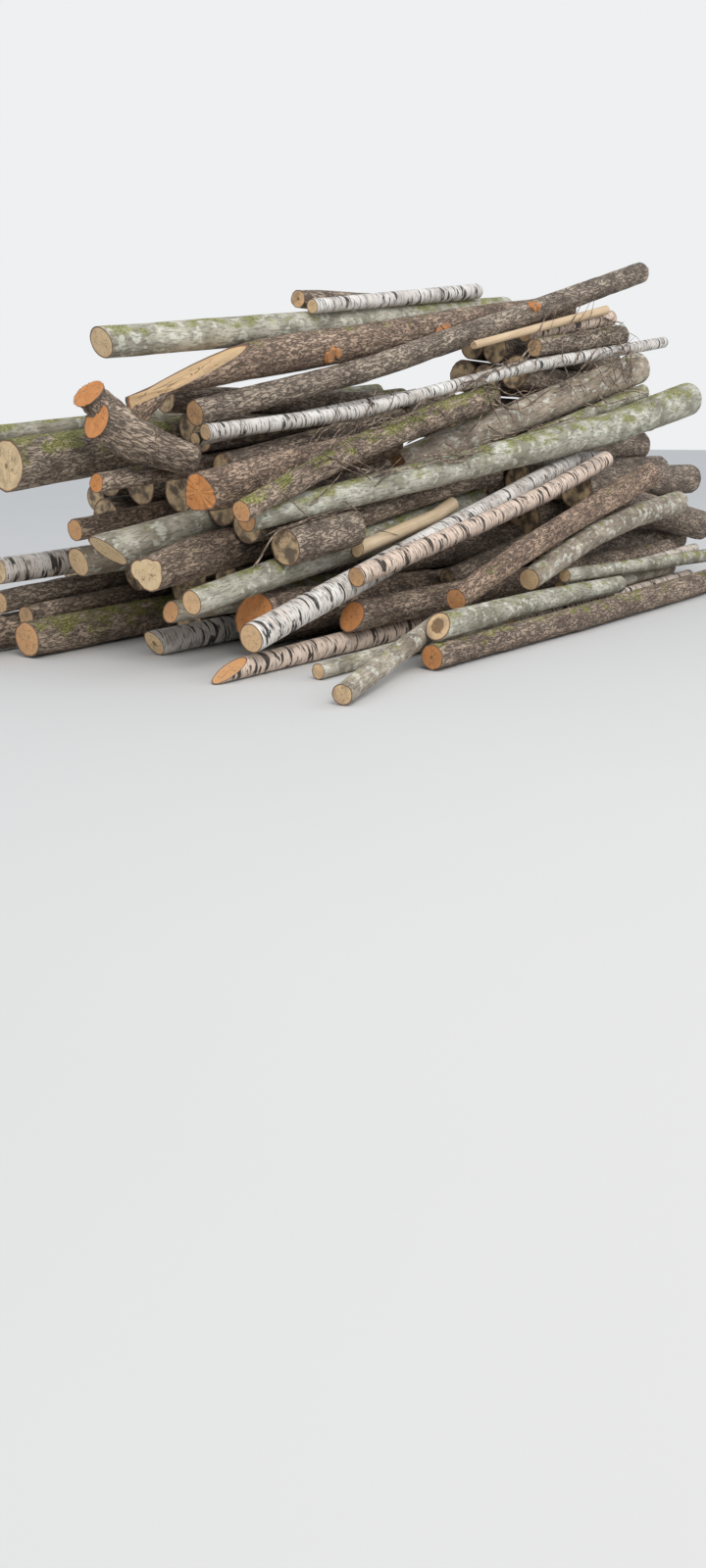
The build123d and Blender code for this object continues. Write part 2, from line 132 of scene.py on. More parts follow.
def log_grid(solid, segments, pace, relief, fissure, seed, ragged=0.003):
    """Points of a barked log over a CAD solid: end face, rim, bark, rim, end face, round the log."""
    tree = BVHTree.FromBMesh(solid)
    low, along, side, up, first, last, bend = middle_line(solid, tree)
    clear = 0.6  # farther out from the middle than any bark
    turns = np.linspace(0.0, 2.0 * math.pi, segments + 1)
    turns[-1] = 0.0
    out = np.cos(turns)[:, None] * side + np.sin(turns)[:, None] * up

    def middle(s):
        return low + along * s[..., None] + side * bend[0](s)[..., None] + up * bend[1](s)[..., None]

    def radius(s, k):
        """Radius at a place along, in one direction, from outside inwards."""
        centre = middle(np.array(s))
        start = centre + out[k] * clear
        hit, _, _, gone = tree.ray_cast(Vector(start), Vector(-out[k]), clear - 0.001)
        return clear - gone if hit is not None else None

    spots = first + np.array([0.35, 0.85]) * (last - first)
    sizes = [float(np.median([radius(spot, k) or 0.1 for k in range(segments)])) for spot in spots]
    taper = np.polynomial.Polynomial.fit(spots, sizes, 1)
    thick = float(taper(0.5 * (first + last)))
    bounds = []
    for way in (-1.0, 1.0):
        cap = [f for f in solid.faces if f.normal.dot(Vector(along)) * way > 0.15]
        area = sum(f.calc_area() for f in cap)
        spot = sum((np.array(f.calc_center_median()) * f.calc_area() for f in cap), np.zeros(3)) / area
        facing = sum((np.array(f.normal) * f.calc_area() for f in cap), np.zeros(3))
        edge = np.full(segments + 1, first if way < 0.0 else last)
        for _ in range(4):
            rim = middle(edge) + out * taper(edge)[:, None]
            edge = np.clip(edge - (rim - spot) @ facing / (along @ facing), first, last)
        bounds.append(edge)
    starts, ends = bounds
    count = max(int((last - first) / pace), 8)
    share = np.linspace(0.0, 1.0, count + 1)
    s = starts[:, None] + (ends - starts)[:, None] * share
    wall = np.zeros(s.shape)
    coarse = np.linspace(0, count, min(count, 24) + 1).round().astype(int)
    for k in range(segments + 1):
        line = []
        for j in coarse:
            inside = min(max(s[k, j], starts[k] + 0.003), ends[k] - 0.003)
            line.append(radius(inside, k) or thick)
        wall[k] = np.interp(np.arange(count + 1), coarse, line)
    # relief is drawn on the log laid out straight
    a = wall * np.cos(turns)[:, None]
    b = wall * np.sin(turns)[:, None]
    straight = np.stack([s - first, a, b], axis=-1)
    lumps = rough_noise(straight * np.array([2.2, 6.0, 6.0]) + seed, seed, 2)
    grain = rough_noise(straight * np.array(fissure) + 3.1 * seed, seed + 7, 2)
    sharp = 1.0 - np.abs(2.0 * grain - 1.0)
    drop = relief * np.clip(1.6 * sharp - 0.5, 0.0, 1.0) + 0.006 * lumps * thick / 0.12
    wall = wall - drop
    rim = ragged * (rough_noise(np.stack([np.cos(turns) * 6, np.sin(turns) * 6, turns * 0], -1), seed) - 0.5)
    s = s + rim[:, None] * np.exp(-share / 0.01)[None, :]
    bark = middle(s) + out[:, None, :] * wall[..., None]
    # the two sawn faces run in from the rim
    steps = (1.0, 0.965, 0.9, 0.78, 0.62, 0.45, 0.28, 0.12, 0.0)
    faces = []
    for at in (0, -1):
        edge = bark[:, at] - out * 0.0025
        inward = along if at == 0 else -along
        hub = edge[:-1].mean(axis=0)
        ring = []
        for step in steps:
            point = hub + (edge - hub) * step
            flat = (point - low) @ np.stack([side, up], axis=-1)
            spots = np.concatenate([flat * 30.0, np.full((segments + 1, 1), float(at))], axis=-1)
            dent = 0.004 * (rough_noise(spots, seed + 3) - 0.3) if step < 1.0 else np.zeros(segments + 1)
            ring.append(point + inward * dent[:, None] * (1.0 if step > 0.0 else 0.0))
        faces.append(np.stack(ring, axis=1))
    points = np.concatenate([faces[0][:, ::-1], bark, faces[1]], axis=1)
    points[..., 2] = points[..., 2].clip(0.0)
    rho = np.concatenate([steps[::-1], np.ones(count + 1), steps])
    kind = np.concatenate([np.ones(len(steps)), np.zeros(count), np.ones(len(steps))]).astype(int)
    spread = (points - low) @ np.stack([along, side, up], axis=-1)
    place = np.clip(spread[..., 0], first, last)
    spread[..., 1] -= bend[0](place)
    spread[..., 2] -= bend[1](place)
    spread[..., 0] -= first
    return points, spread, np.broadcast_to(rho, points.shape[:2]), kind


def add_log(target, points, spread, rho, kind, look, end_look, offset):
    """Roll a grid up into one closed log and add it to a mesh."""
    across, rows = points.shape[1] - 1, points.shape[0] - 1
    sheet = bmesh.new()
    bmesh.ops.create_grid(sheet, x_segments=across, y_segments=rows, size=1.0)
    part = bpy.data.meshes.new("part")
    sheet.to_mesh(part)
    sheet.free()
    part.vertices.foreach_set("co", points.reshape(-1))
    shifted = spread + np.array([offset, 0.0, 0.0])
    for name, values in (("log_co", shifted), ("look", np.broadcast_to(look, points.shape)),
                         ("end_look", np.broadcast_to(end_look, points.shape))):
        layer = part.attributes.new(name, "FLOAT_VECTOR", "POINT")
        layer.data.foreach_set("vector", np.ascontiguousarray(values, dtype=np.float32).reshape(-1))
    layer = part.attributes.new("rho", "FLOAT", "POINT")
    layer.data.foreach_set("value", np.ascontiguousarray(rho, dtype=np.float32).reshape(-1))
    part.polygons.foreach_set("material_index", np.tile(kind, rows))
    target.from_mesh(part)
    bpy.data.meshes.remove(part)


def dress(node, bark, end, slot, look=(0.5, 0.0, 0.0), end_look=(0.3, 0.0, 0.3), segments=64, pace=0.04,
          relief=0.003, fissure=(3.0, 22.0, 22.0), seed=1, **shape):
    """Barked log or logs in place of a CAD node."""
    mesh = bmesh.new()
    for number, solid in enumerate(islands(node)):
        grid = log_grid(solid, segments, pace, relief, fissure, seed + 11 * number, **shape)
        add_log(mesh, *grid, look, end_look, offset=7.0 * seed + 3.0 * number)
        solid.free()
    bmesh.ops.remove_doubles(mesh, verts=mesh.verts, dist=1e-5)
    bmesh.ops.recalc_face_normals(mesh, faces=mesh.faces)
    for edge in mesh.edges:
        faces = edge.link_faces
        if len(faces) == 2 and faces[0].material_index != faces[1].material_index:
            edge.smooth = False
    for face in mesh.faces:
        face.smooth = True
    data = bpy.data.meshes.new(node + "_bark")
    mesh.to_mesh(data)
    mesh.free()
    up = data.attributes.new("up", "FLOAT", "POINT")
    up.data.foreach_set("value", [v.normal.z for v in data.vertices])
    data.materials.append(bark)
    data.materials.append(end)
    piece = bpy.data.objects.new(node + "_bark", data)
    bpy.context.scene.collection.objects.link(piece)
    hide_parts(node)
    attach(piece, "root")
    return piece


def put(tree, kind, **sockets):
    """One shader node: attributes by name, inputs by in_0, in_1... or by the socket's name."""
    node = tree.nodes.new(kind)
    for key, value in sockets.items():
        name = key[3:] if key.startswith("in_") else None
        if name is None:
            setattr(node, key, value)
            continue
        socket = node.inputs[int(name)] if name.isdigit() else node.inputs[name.replace("_", " ")]
        if isinstance(value, bpy.types.NodeSocket):
            tree.links.new(value, socket)
        else:
            socket.default_value = value
    return node


def mix(tree, factor, one, two, blend="MIX"):
    """Mix of two colours."""
    node = put(tree, "ShaderNodeMix", data_type="RGBA", blend_type=blend)
    for socket, value in ((node.inputs[0], factor), (node.inputs[6], one), (node.inputs[7], two)):
        if isinstance(value, bpy.types.NodeSocket):
            tree.links.new(value, socket)
        else:
            socket.default_value = value if socket is node.inputs[0] else (*value, 1.0)
    return node.outputs[2]


def calc(tree, operation, *values):
    """A sum on values."""
    node = put(tree, "ShaderNodeMath", operation=operation)
    for socket, value in zip(node.inputs, values):
        if isinstance(value, bpy.types.NodeSocket):
            tree.links.new(value, socket)
        else:
            socket.default_value = value
    return node.outputs[0]


def between(tree, value, low, high):
    """0 below one value, 1 above another, smooth between."""
    node = put(tree, "ShaderNodeMapRange", interpolation_type="SMOOTHSTEP", in_Value=value)
    node.inputs["From Min"].default_value = low
    node.inputs["From Max"].default_value = high
    return node.outputs[0]


def stretched(tree, co, scale, shift=0.0, detail=3.0, distort=0.0):
    """Noise on the straightened log, stretched along and round it."""
    moved = put(tree, "ShaderNodeVectorMath", operation="MULTIPLY", in_0=co, in_1=scale).outputs[0]
    moved = put(tree, "ShaderNodeVectorMath", operation="ADD", in_0=moved,
                in_1=(shift, shift, shift)).outputs[0]
    return put(tree, "ShaderNodeTexNoise", in_Vector=moved, in_Scale=1.0, in_Detail=detail,
               in_Distortion=distort).outputs[0]


def group(name, inputs, outputs):
    """An empty node group with its sockets: returns the tree, its inputs and its output node."""
    tree = bpy.data.node_groups.new(name, "ShaderNodeTree")
    for label, kind in inputs:
        tree.interface.new_socket(label, in_out="INPUT", socket_type=kind)
    for label, kind in outputs:
        tree.interface.new_socket(label, in_out="OUTPUT", socket_type=kind)
    return tree, tree.nodes.new("NodeGroupInput").outputs, tree.nodes.new("NodeGroupOutput").inputs


# The third bark input sets dark blotches: real dirt, and at its fullest, on the logs hidden inside the heap,
# painted shade.
BARK_IN = (("Co", "NodeSocketVector"), ("Tone", "NodeSocketFloat"), ("Moss", "NodeSocketFloat"),
           ("Dirt", "NodeSocketFloat"), ("Up", "NodeSocketFloat"))
BARK_OUT = (("Color", "NodeSocketColor"), ("Roughness", "NodeSocketFloat"), ("Height", "NodeSocketFloat"))


def algae_and_moss(tree, base, co, moss, dirt, up):
    """Yellow-green algae and tufts of moss on the upper side, and dark blotches: dirt, and painted shade on
    the logs hidden inside the heap.
    """
    patch = stretched(tree, co, (7.0, 11.0, 11.0), 4.0, 5.0)
    fine = stretched(tree, co, (60.0, 70.0, 70.0), 9.0, 3.0)
    lean = calc(tree, "MULTIPLY_ADD", up, 0.21, patch)
    lean = calc(tree, "MULTIPLY_ADD", fine, 0.14, lean)
    reach = calc(tree, "MULTIPLY_ADD", moss, -0.34, 0.92)
    algae = calc(tree, "SUBTRACT", lean, reach)
    algae = calc(tree, "MULTIPLY", between(tree, algae, 0.0, 0.2), between(tree, moss, 0.0, 0.12))
    green = mix(tree, between(tree, fine, 0.35, 0.7), (0.10, 0.105, 0.022), (0.38, 0.37, 0.11))
    colour = mix(tree, calc(tree, "MULTIPLY", algae, 0.82), base, green)
    # dark blotches: real dirt, and painted shade where the value is full, as on the hidden logs
    blotch = stretched(tree, co, (5.0, 9.0, 9.0), 15.0, 4.0)
    dark = calc(tree, "MULTIPLY", between(tree, blotch, 0.5, 0.75), dirt)
    colour = mix(tree, calc(tree, "MULTIPLY", dark, 0.7), colour, (0.13, 0.105, 0.085))
    return colour, algae


def bark_material(name, tree_group, strength, distance=0.004):
    """Principled bark that reads its colours and relief from one bark group."""
    material = bpy.data.materials.new(name)
    material.use_nodes = True
    tree = material.node_tree
    shader = tree.nodes["Principled BSDF"]
    shader.inputs["Specular IOR Level"].default_value = 0.25
    co = put(tree, "ShaderNodeAttribute", attribute_name="log_co").outputs["Vector"]
    look = put(tree, "ShaderNodeAttribute", attribute_name="look").outputs["Vector"]
    up = put(tree, "ShaderNodeAttribute", attribute_name="up").outputs["Fac"]
    parts = put(tree, "ShaderNodeSeparateXYZ", in_0=look).outputs
    body = put(tree, "ShaderNodeGroup", node_tree=tree_group, in_Co=co, in_Tone=parts[0], in_Moss=parts[1],
               in_Dirt=parts[2], in_Up=up)
    bump = put(tree, "ShaderNodeBump", in_Strength=strength, in_Distance=distance,
               in_Height=body.outputs["Height"])
    tree.links.new(body.outputs["Color"], shader.inputs["Base Color"])
    tree.links.new(body.outputs["Roughness"], shader.inputs["Roughness"])
    tree.links.new(bump.outputs[0], shader.inputs["Normal"])
    return material


def birch_bark_group():
    tree, given, result = group("Birch bark", BARK_IN, BARK_OUT)
    co = given["Co"]
    cloud = stretched(tree, co, (3.0, 5.0, 5.0), 1.0, 4.0)
    band = stretched(tree, co, (30.0, 5.0, 5.0), 2.0, 4.0)
    white = mix(tree, between(tree, cloud, 0.35, 0.7), (0.80, 0.77, 0.72), (0.62, 0.57, 0.52))
    peach = mix(tree, band, (0.66, 0.46, 0.34), (0.78, 0.66, 0.55))
    toned = calc(tree, "ADD", calc(tree, "MULTIPLY", given["Tone"], 0.9), calc(tree, "SUBTRACT", band, 0.62))
    colour = mix(tree, between(tree, toned, -0.1, 0.55), white, peach)
    dash = stretched(tree, co, (110.0, 13.0, 13.0), 3.0, 1.5)
    dash_dark = calc(tree, "MULTIPLY", between(tree, dash, 0.57, 0.62), 0.85)
    colour = mix(tree, dash_dark, colour, (0.09, 0.07, 0.06))
    scar = stretched(tree, co, (26.0, 6.0, 6.0), 5.0, 3.0, 0.5)
    more = calc(tree, "MULTIPLY_ADD", given["Tone"], 0.035, scar)
    scar = between(tree, more, 0.585, 0.62)
    colour = mix(tree, calc(tree, "MULTIPLY", scar, 0.94), colour, (0.028, 0.024, 0.022))
    worn = stretched(tree, co, (5.0, 12.0, 12.0), 33.0, 5.0)
    worn = calc(tree, "MULTIPLY", between(tree, worn, 0.52, 0.7), 0.5)
    colour = mix(tree, worn, colour, (0.30, 0.25, 0.21))
    colour, algae = algae_and_moss(tree, colour, co, given["Moss"], given["Dirt"], given["Up"])
    high = calc(tree, "SUBTRACT", calc(tree, "MULTIPLY", band, 0.35), calc(tree, "MULTIPLY", scar, 0.8))
    high = calc(tree, "MULTIPLY_ADD", dash, -0.3, high)
    tree.links.new(colour, result["Color"])
    tree.links.new(calc(tree, "MULTIPLY_ADD", scar, 0.25, 0.58), result["Roughness"])
    tree.links.new(calc(tree, "MULTIPLY_ADD", algae, 0.4, high), result["Height"])
    return tree


def sawn_end_group():
    """Growth rings, saw marks, drying cracks, a dark heart and the cut bark round the rim."""
    # The last input greys the end with weathering; above 1, as on the hidden logs, it lays painted shade.
    inputs = (("Co", "NodeSocketVector"), ("Rho", "NodeSocketFloat"), ("Tone", "NodeSocketFloat"),
              ("Heart", "NodeSocketFloat"), ("Age", "NodeSocketFloat"))
    tree, given, result = group("Sawn end", inputs, BARK_OUT)
    co = given["Co"]
    flat = put(tree, "ShaderNodeVectorMath", operation="MULTIPLY", in_0=co, in_1=(0.0, 1.0, 1.0)).outputs[0]
    away = put(tree, "ShaderNodeVectorMath", operation="LENGTH", in_0=flat).outputs["Value"]
    wander = stretched(tree, co, (2.0, 9.0, 9.0), 6.0, 3.0)
    rings = calc(tree, "SINE", calc(tree, "MULTIPLY", calc(tree, "MULTIPLY_ADD", wander, 0.035, away), 900.0))
    cloud = stretched(tree, co, (2.0, 22.0, 22.0), 8.0, 4.0)
    cream = mix(tree, cloud, (0.66, 0.46, 0.23), (0.86, 0.70, 0.46))
    orange = mix(tree, cloud, (0.50, 0.15, 0.035), (0.80, 0.37, 0.13))
    tone = calc(tree, "ADD", given["Tone"], calc(tree, "MULTIPLY", calc(tree, "SUBTRACT", cloud, 0.5), 0.5))
    colour = mix(tree, between(tree, tone, 0.1, 0.9), cream, orange)
    ring_dark = calc(tree, "MULTIPLY", calc(tree, "MULTIPLY_ADD", rings, 0.5, 0.5), 0.22)
    colour = mix(tree, ring_dark, colour, (0.42, 0.24, 0.11))
    heart_edge = calc(tree, "MULTIPLY_ADD", wander, 0.5, given["Rho"])
    heart_edge = calc(tree, "SUBTRACT", calc(tree, "MULTIPLY_ADD", given["Heart"], 0.8, 0.12), heart_edge)
    has_heart = between(tree, given["Heart"], 0.0, 0.3)
    heart = calc(tree, "MULTIPLY", between(tree, heart_edge, 0.0, 0.12), has_heart)
    colour = mix(tree, calc(tree, "MULTIPLY", heart, 0.85), colour, (0.20, 0.105, 0.05))
    across = put(tree, "ShaderNodeSeparateXYZ", in_0=co).outputs
    turn = calc(tree, "ARCTAN2", across[2], across[1])
    ray = put(tree, "ShaderNodeCombineXYZ", in_0=turn, in_1=calc(tree, "MULTIPLY", away, 3.0),
              in_2=across[0]).outputs[0]
    check = stretched(tree, ray, (1.5, 4.0, 0.3), 3.0, 2.0)
    check = calc(tree, "ABSOLUTE", calc(tree, "SUBTRACT", check, 0.5))
    check = calc(tree, "SUBTRACT", 1.0, between(tree, check, 0.004, 0.016))
    check = calc(tree, "MULTIPLY", check, between(tree, given["Rho"], 0.95, 0.5))
    colour = mix(tree, calc(tree, "MULTIPLY", check, 0.75), colour, (0.08, 0.05, 0.03))
    saw = stretched(tree, co, (5.0, 14.0, 260.0), 2.0, 2.0)
    saw_dark = calc(tree, "MULTIPLY", between(tree, saw, 0.45, 0.7), 0.18)
    colour = mix(tree, saw_dark, colour, (0.30, 0.18, 0.09))
    # flat grey-brown ends: weathering, and painted shade where the age is above 1, as on the hidden logs
    grey = stretched(tree, co, (3.0, 13.0, 13.0), 21.0, 5.0)
    grey = calc(tree, "MULTIPLY", between(tree, grey, 0.35, 0.75), given["Age"])
    colour = mix(tree, calc(tree, "MULTIPLY", grey, 0.85), colour, (0.19, 0.145, 0.105))
    edge = calc(tree, "MULTIPLY_ADD", calc(tree, "SUBTRACT", cloud, 0.5), 0.04, given["Rho"])
    colour = mix(tree, between(tree, edge, 0.925, 0.945), colour, (0.34, 0.15, 0.07))
    colour = mix(tree, between(tree, edge, 0.955, 0.975), colour, (0.15, 0.115, 0.09))
    high = calc(tree, "MULTIPLY_ADD", saw, 0.6, calc(tree, "MULTIPLY", rings, 0.08))
    high = calc(tree, "MULTIPLY_ADD", check, -1.2, high)
    tree.links.new(colour, result["Color"])
    tree.links.new(calc(tree, "MULTIPLY_ADD", grey, 0.15, 0.68), result["Roughness"])
    tree.links.new(high, result["Height"])
    return tree


def end_material(name, tree_group):
    material = bpy.data.materials.new(name)
    material.use_nodes = True
    tree = material.node_tree
    shader = tree.nodes["Principled BSDF"]
    shader.inputs["Specular IOR Level"].default_value = 0.2
    co = put(tree, "ShaderNodeAttribute", attribute_name="log_co").outputs["Vector"]
    rho = put(tree, "ShaderNodeAttribute", attribute_name="rho").outputs["Fac"]
    look = put(tree, "ShaderNodeAttribute", attribute_name="end_look").outputs["Vector"]
    parts = put(tree, "ShaderNodeSeparateXYZ", in_0=look).outputs
    body = put(tree, "ShaderNodeGroup", node_tree=tree_group, in_Co=co, in_Rho=rho, in_Tone=parts[0],
               in_Heart=parts[1], in_Age=parts[2])
    bump = put(tree, "ShaderNodeBump", in_Strength=0.5, in_Distance=0.002, in_Height=body.outputs["Height"])
    tree.links.new(body.outputs["Color"], shader.inputs["Base Color"])
    tree.links.new(body.outputs["Roughness"], shader.inputs["Roughness"])
    tree.links.new(bump.outputs[0], shader.inputs["Normal"])
    return material


birch_bark = bark_material("birch bark", birch_bark_group(), 0.5)
sawn_end = end_material("sawn end", sawn_end_group())
BIRCH = {"bark": birch_bark, "end": sawn_end, "slot": "birch_bark", "relief": 0.0015,
         "fissure": (14.0, 9.0, 9.0)}
dress("birch_big_front", **BIRCH, look=(0.12, 0.05, 0.1), end_look=(0.35, 0.1, 0.1), seed=2)
dress("birch_left_edge", **BIRCH, look=(0.2, 0.3, 0.7), end_look=(0.2, 0.2, 0.6), seed=3)
dress("birch_small_left", **BIRCH, look=(0.1, 0.2, 0.4), end_look=(0.25, 0.5, 0.3), seed=4)
dress("birch_long_thin", **BIRCH, look=(0.05, 0.05, 0.15), end_look=(0.3, 0.0, 0.3), seed=5)
dress("birch_near_top", **BIRCH, look=(0.05, 0.0, 0.1), end_look=(0.3, 0.0, 0.3), seed=6)
dress("birch_behind_long_log", **BIRCH, look=(0.15, 0.1, 0.2), end_look=(0.3, 0.0, 0.3), seed=7)
dress("birch_strip_under_split_log", **BIRCH, look=(0.1, 0.1, 0.3), end_look=(0.3, 0.0, 0.3), seed=8)


# Old speckled birches
# Older and thinner birch tops whose bark has gone peach and cream, thick with dark specks and scars.

OLD_BIRCH = dict(BIRCH, relief=0.0025)
dress("old_speckled_birch", **OLD_BIRCH, look=(0.75, 0.1, 0.45), end_look=(0.5, 0.1, 0.4), seed=9)
dress("pink_birch_shard_end", **OLD_BIRCH, look=(0.6, 0.1, 0.4), end_look=(0.6, 0.0, 0.2), seed=10)
dress("pink_birch_ground_thin", **OLD_BIRCH, look=(0.9, 0.1, 0.4), end_look=(0.6, 0.0, 0.4), seed=11)
dress("grey_birch_thin_right", **OLD_BIRCH, look=(0.4, 0.3, 0.4), end_look=(0.4, 0.0, 0.4), seed=12)
dress("speckled_birch_thin", **OLD_BIRCH, look=(0.5, 0.2, 0.5), end_look=(0.4, 0.0, 0.4), seed=13)
dress("tan_birch_far", **OLD_BIRCH, look=(0.8, 0.1, 0.5), end_look=(0.4, 0.0, 0.5), seed=14)


# Grey logs with lichen
# Ash and aspen stems: thin smooth grey-beige bark with pale lichen, green algae and dark specks.

def lichen_bark_group():
    tree, given, result = group("Lichen bark", BARK_IN, BARK_OUT)
    co = given["Co"]
    cloud = stretched(tree, co, (4.0, 7.0, 7.0), 1.0, 5.0)
    fine = stretched(tree, co, (40.0, 60.0, 60.0), 2.0, 4.0)
    cloud = between(tree, cloud, 0.3, 0.7)
    grey = mix(tree, cloud, (0.27, 0.26, 0.19), (0.58, 0.57, 0.47))
    brown = mix(tree, cloud, (0.22, 0.16, 0.12), (0.52, 0.41, 0.31))
    colour = mix(tree, given["Tone"], grey, brown)
    patch = stretched(tree, co, (13.0, 16.0, 16.0), 12.0, 5.0, 0.4)
    patch = between(tree, patch, 0.54, 0.62)
    colour = mix(tree, calc(tree, "MULTIPLY", patch, 0.6), colour, (0.74, 0.74, 0.63))
    speck = calc(tree, "MULTIPLY", between(tree, fine, 0.55, 0.75), 0.45)
    colour = mix(tree, speck, colour, (0.11, 0.095, 0.08))
    crack = stretched(tree, co, (16.0, 75.0, 75.0), 7.0, 4.0)
    crack = between(tree, crack, 0.5, 0.38)
    colour = mix(tree, calc(tree, "MULTIPLY", crack, 0.5), colour, (0.12, 0.10, 0.085))
    colour, algae = algae_and_moss(tree, colour, co, given["Moss"], given["Dirt"], given["Up"])
    high = calc(tree, "MULTIPLY_ADD", crack, -0.7, calc(tree, "MULTIPLY", fine, 0.5))
    tree.links.new(colour, result["Color"])
    tree.links.new(calc(tree, "MULTIPLY_ADD", fine, 0.15, 0.72), result["Roughness"])
    tree.links.new(calc(tree, "MULTIPLY_ADD", algae, 0.5, high), result["Height"])
    return tree


lichen_bark = bark_material("lichen bark", lichen_bark_group(), 0.6)
GREY = {"bark": lichen_bark, "end": sawn_end, "slot": "grey_bark", "relief": 0.0025}
dress("lichen_log_upper", **GREY, look=(0.2, 0.75, 0.2), end_look=(0.15, 0.0, 0.3), seed=21)
dress("grey_green_log_long", **GREY, look=(0.1, 0.8, 0.2), end_look=(0.6, 0.3, 0.5), seed=22)
dress("lichen_log_branch_stub", **GREY, look=(0.1, 0.7, 0.15), end_look=(0.4, 0.0, 0.1), seed=23)
dress("grey_lichen_log_dark_heart", **GREY, look=(0.15, 0.6, 0.2), end_look=(0.3, 0.9, 0.7), seed=24)
dress("grey_green_oblique_log", **GREY, look=(0.3, 0.45, 0.3), end_look=(0.15, 0.0, 0.1), seed=25)
dress("green_log_right", **GREY, look=(0.2, 0.75, 0.4), end_look=(0.3, 0.2, 0.5), seed=26)
dress("green_yellow_log", **GREY, look=(0.3, 0.8, 0.2), end_look=(0.3, 0.0, 0.5), seed=27)
dress("yellow_grey_log_left_edge", **GREY, look=(0.3, 0.7, 0.2), end_look=(0.3, 0.0, 0.5), seed=28)
dress("grey_log_left_edge", **GREY, look=(0.4, 0.4, 0.4), end_look=(0.3, 0.0, 0.5), seed=29)
dress("grey_log_front_foot", **GREY, look=(0.4, 0.4, 0.5), end_look=(0.3, 0.0, 0.5), seed=30)
dress("old_log_front_foot", **GREY, look=(0.6, 0.3, 0.6), end_look=(0.3, 0.3, 0.8), seed=31)
dress("alder_round_end", **GREY, look=(0.4, 0.8, 0.3), end_look=(0.6, 0.0, 0.1), seed=32)
dress("oblique_cut_log_small", **GREY, look=(0.4, 0.4, 0.3), end_look=(0.5, 0.0, 0.2), seed=33)
dress("old_pink_log", **GREY, look=(0.8, 0.5, 0.2), end_look=(0.5, 0.3, 0.5), seed=34)
dress("bent_log_white_end", **dict(GREY, slot="birch_bark"), look=(0.7, 0.45, 0.4),
      end_look=(0.3, 0.0, 0.2), seed=15)
dress("tan_log_left", **GREY, look=(0.7, 0.3, 0.5), end_look=(0.3, 0.1, 0.3), seed=35)


# Dark fissured logs
# Alder, willow and old ash butts: thick grey-brown bark split into ridges along the stem.

def fissured_bark_group():
    tree, given, result = group("Fissured bark", BARK_IN, BARK_OUT)
    co = given["Co"]
    ridge = stretched(tree, co, (13.0, 46.0, 46.0), 1.0, 5.0, 0.7)
    ridge = calc(tree, "ABSOLUTE", calc(tree, "SUBTRACT", ridge, 0.5))
    ridge = between(tree, ridge, 0.0, 0.10)
    cloud = stretched(tree, co, (4.0, 8.0, 8.0), 5.0, 5.0)
    fine = stretched(tree, co, (60.0, 90.0, 90.0), 2.0, 4.0)
    cloud = between(tree, cloud, 0.3, 0.7)
    grey = mix(tree, cloud, (0.21, 0.175, 0.14), (0.50, 0.43, 0.34))
    warm = mix(tree, cloud, (0.25, 0.16, 0.11), (0.52, 0.36, 0.25))
    colour = mix(tree, given["Tone"], grey, warm)
    speck = calc(tree, "MULTIPLY", between(tree, fine, 0.5, 0.72), 0.5)
    colour = mix(tree, speck, colour, (0.62, 0.55, 0.46))
    gap = calc(tree, "SUBTRACT", 1.0, ridge)
    colour = mix(tree, calc(tree, "MULTIPLY", gap, 0.85), colour, (0.06, 0.045, 0.036))
    colour, algae = algae_and_moss(tree, colour, co, given["Moss"], given["Dirt"], given["Up"])
    high = calc(tree, "MULTIPLY_ADD", fine, 0.3, ridge)
    tree.links.new(colour, result["Color"])
    tree.links.new(calc(tree, "MULTIPLY_ADD", fine, 0.1, 0.8), result["Roughness"])
    tree.links.new(calc(tree, "MULTIPLY_ADD", algae, 0.3, high), result["Height"])
    return tree


fissured_bark = bark_material("fissured bark", fissured_bark_group(), 0.8, 0.007)
DARK = {"bark": fissured_bark, "end": sawn_end, "slot": "dark_bark", "relief": 0.007, "pace": 0.035,
        "segments": 72}
BUTT = dict(DARK, slot="grey_bark")
dress("dark_fissured_log_long", **DARK, look=(0.3, 0.1, 0.3), end_look=(0.5, 0.3, 0.7), seed=41)
dress("dark_log_top", **DARK, look=(0.5, 0.1, 0.3), end_look=(0.4, 0.5, 0.8), seed=42)
dress("dark_log_left_edge", **DARK, look=(0.3, 0.2, 0.6), end_look=(0.4, 0.3, 0.7), seed=43)
dress("brown_fissured_log_left", **DARK, look=(0.5, 0.2, 0.5), end_look=(0.4, 0.3, 0.7), seed=44)
dress("brown_fissured_log_ridged", **DARK, look=(0.6, 0.3, 0.4), end_look=(0.85, 0.3, 0.3), seed=45)
dress("brown_ground_log_left", **DARK, look=(0.6, 0.2, 0.5), end_look=(0.7, 0.4, 0.5), seed=46)
dress("reddish_brown_log", **BUTT, look=(1.0, 0.3, 0.2), end_look=(0.7, 0.2, 0.4), seed=47)
dress("triple_stem_butt", **BUTT, look=(0.6, 0.25, 0.2), end_look=(0.12, 0.0, 0.1), seed=48)
dress("stump_log_notched", **BUTT, look=(0.7, 0.1, 0.4), end_look=(0.9, 0.2, 0.2), seed=49)
dress("flared_birch_butt", **BUTT, look=(0.9, 0.1, 0.3), end_look=(0.95, 0.2, 0.2),
      seed=50, ragged=0.03)
dress("orange_end_small", **BUTT, look=(0.5, 0.3, 0.4), end_look=(0.9, 0.1, 0.1), seed=51)
dress("brown_hollow_log_small", **BUTT, look=(0.5, 0.1, 0.5), end_look=(0.3, 1.0, 0.6),
      seed=53)
dress("tan_cracked_log", **BUTT, look=(0.7, 0.2, 0.4), end_look=(0.55, 0.2, 0.3), seed=52)


# Mossy logs
# Logs that lay longest: rough dark bark under green moss and algae along the upper side.

